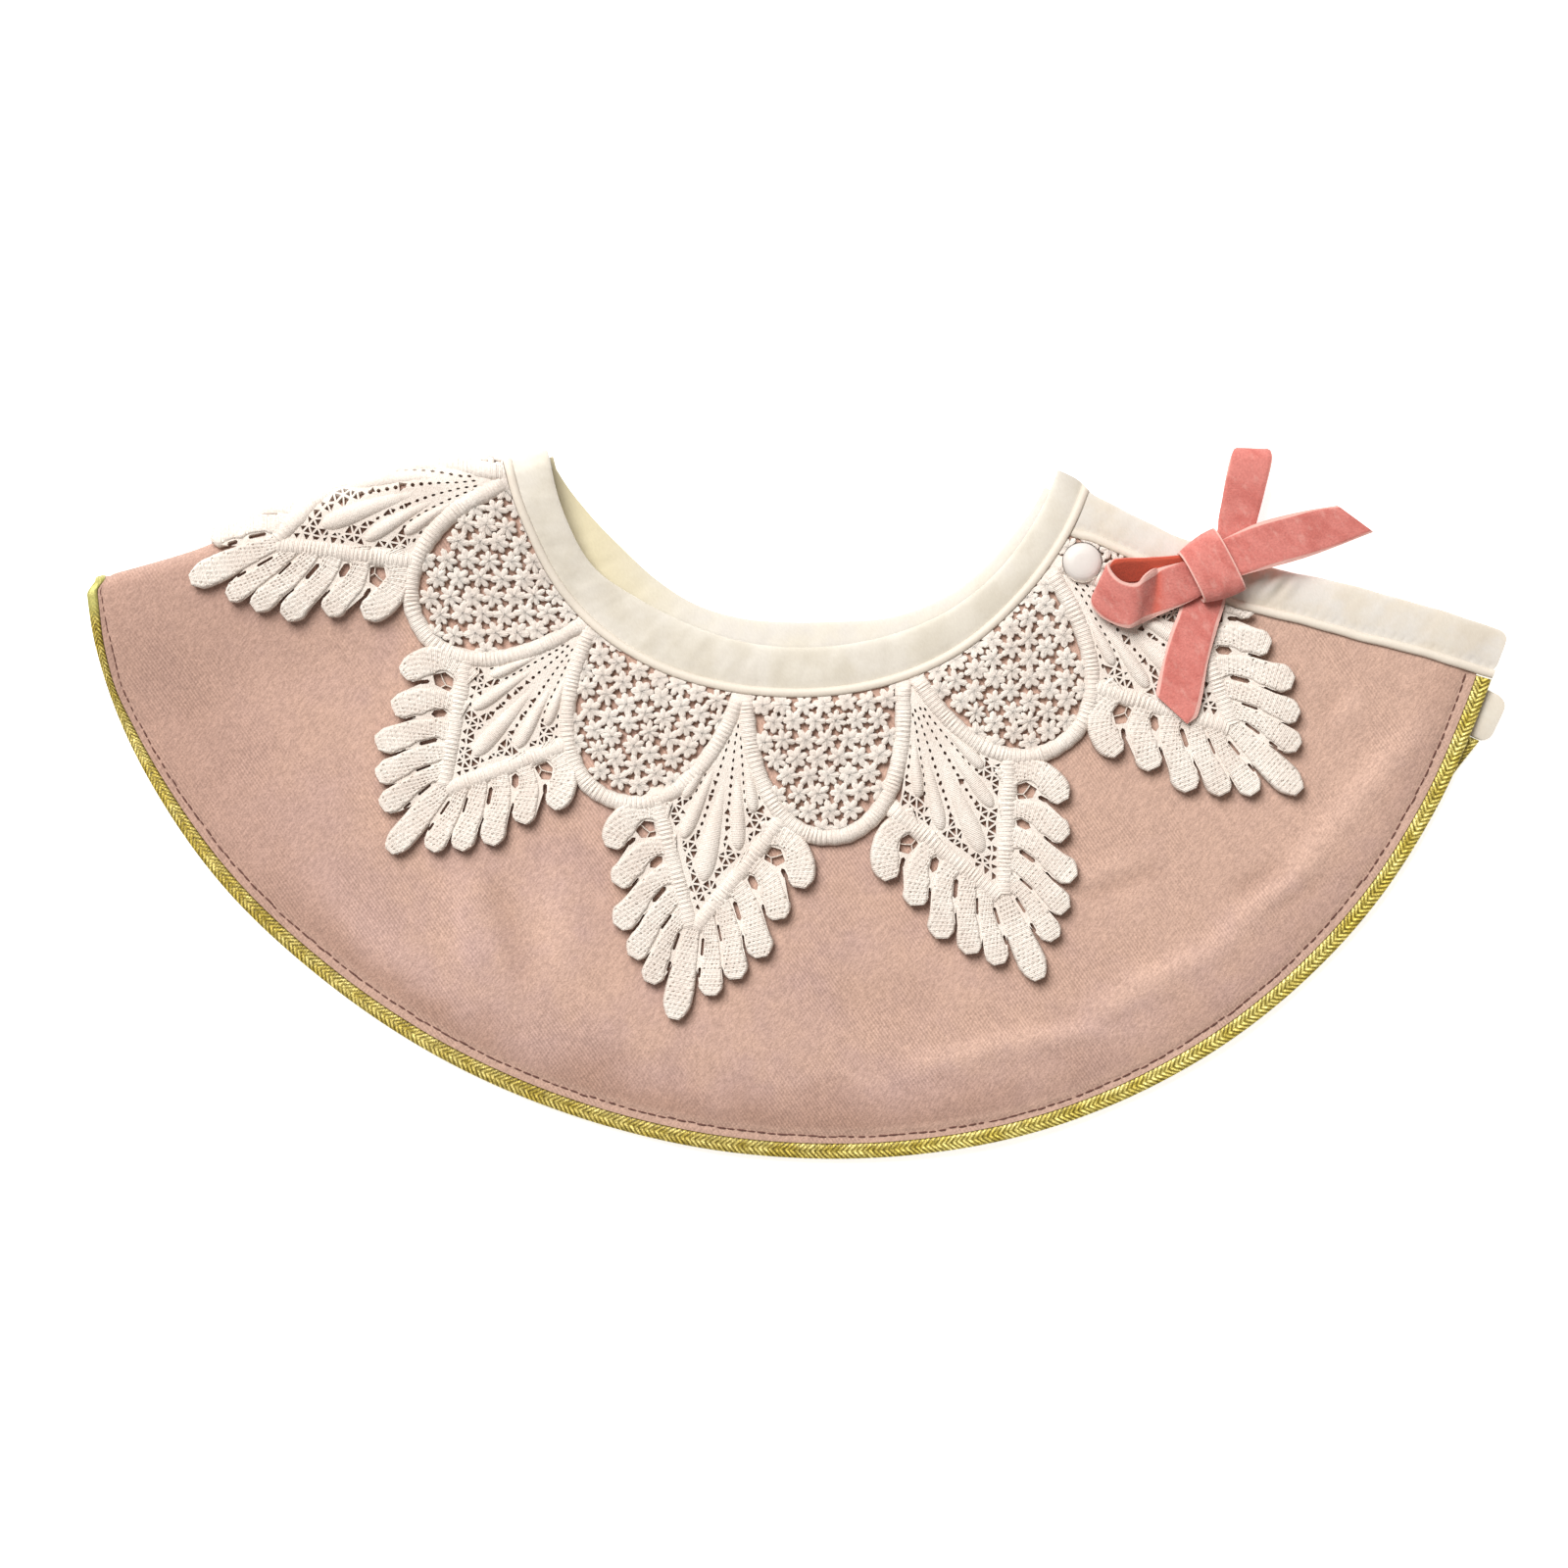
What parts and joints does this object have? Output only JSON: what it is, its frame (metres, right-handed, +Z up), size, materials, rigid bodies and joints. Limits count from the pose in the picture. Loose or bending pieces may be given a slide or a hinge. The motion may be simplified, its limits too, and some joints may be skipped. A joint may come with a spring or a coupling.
{
  "type": "round baby bib with a lace collar, folded flat",
  "caption": "Round cloth bib folded flat at one shoulder, with a scalloped lace collar, bound neck and opening edge, snap cap, velvet ribbon bow and braided hem.",
  "frame": {"origin": "middle of the whole part's box, on the surface that it lies on", "axes": "+X from the folded shoulder towards the opening edge, +Y from the hem towards the neck, +Z up from the surface"},
  "size_m": [0.3508, 0.1752, 0.0152],
  "materials": {
    "twill": "dusty pink cotton twill, matt",
    "lace": "ecru guipure lace, matt",
    "sateen": "cream sateen binding, soft sheen",
    "gold_braid": "gold metallic braid",
    "velvet": "rose velvet ribbon, soft nap",
    "snap": "pale lilac-white, satin gloss"
  },
  "bodies": {
    "root": {"panel_front": "twill", "panel_back": "twill", "hem_braid_front": "gold_braid", "hem_braid_back": "gold_braid", "lace_collar": "lace", "neck_band_front": "sateen", "neck_piping": "sateen", "neck_band_back": "sateen", "placket_band": "sateen", "placket_piping": "sateen", "placket_band_back": "sateen", "snap_cap": "snap", "bow_knot": "velvet", "bow_loop_left": "velvet", "bow_loop_upright": "velvet", "bow_tail_right": "velvet", "bow_tail_down": "velvet"}
  },
  "joints": []
}
